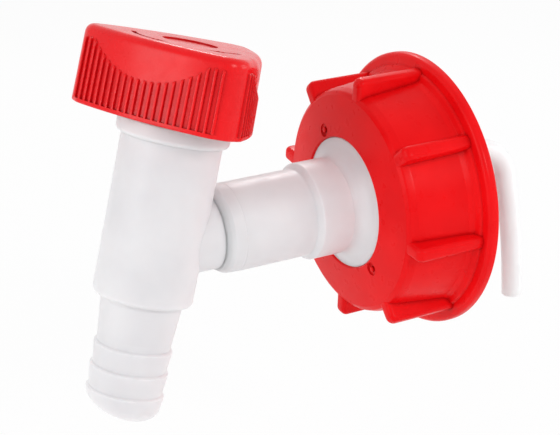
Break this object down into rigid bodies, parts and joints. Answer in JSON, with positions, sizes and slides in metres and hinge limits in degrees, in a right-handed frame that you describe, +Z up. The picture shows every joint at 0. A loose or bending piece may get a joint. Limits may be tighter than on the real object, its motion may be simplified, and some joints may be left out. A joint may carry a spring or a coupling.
{
  "type": "jerrycan tap",
  "caption": "Jerrycan tap with a winged cap nut, an inlet pipe, a leaning plug-valve barrel with a barbed hose nozzle, a ribbed three-sided knob and a bent air tube.",
  "frame": {"origin": "centre of the neck gasket's outer face, on the axis of the cap nut and the inlet pipe, where the canister's neck rim seats", "axes": "+X along the cap nut's axis into the canister, +Z up with the knob at the top, +Y to the side"},
  "size_m": [0.1483, 0.0816, 0.1074],
  "materials": {
    "red_plastic": "satin moulded",
    "white_plastic": "milky moulded",
    "tube_plastic": "milky extruded",
    "black_rubber": "matt"
  },
  "bodies": {
    "tap": {"tap_body": "white_plastic", "inlet_adapter": "white_plastic", "neck_gasket": "black_rubber"},
    "valve": {"knob": "red_plastic", "plug": "white_plastic", "plug_seal_1": "black_rubber", "plug_seal_2": "black_rubber"},
    "nut": {"cap_nut": "red_plastic"},
    "air_tube": {"vent_tube": "tube_plastic"}
  },
  "joints": [
    {"name": "knob_turn", "type": "hinge", "parent": "tap", "child": "valve", "pos_m": [-0.0706, 0, 0], "axis": [0.2706, 0, 0.9627], "range_deg": [0, 90]},
    {"name": "nut_spin", "type": "hinge", "parent": "tap", "child": "nut", "pos_m": [0, 0, 0], "axis": [1, 0, 0], "continuous": true},
    {"name": "tube_turn", "type": "hinge", "parent": "tap", "child": "air_tube", "pos_m": [0, 0, 0.008], "axis": [1, 0, 0], "continuous": true}
  ]
}
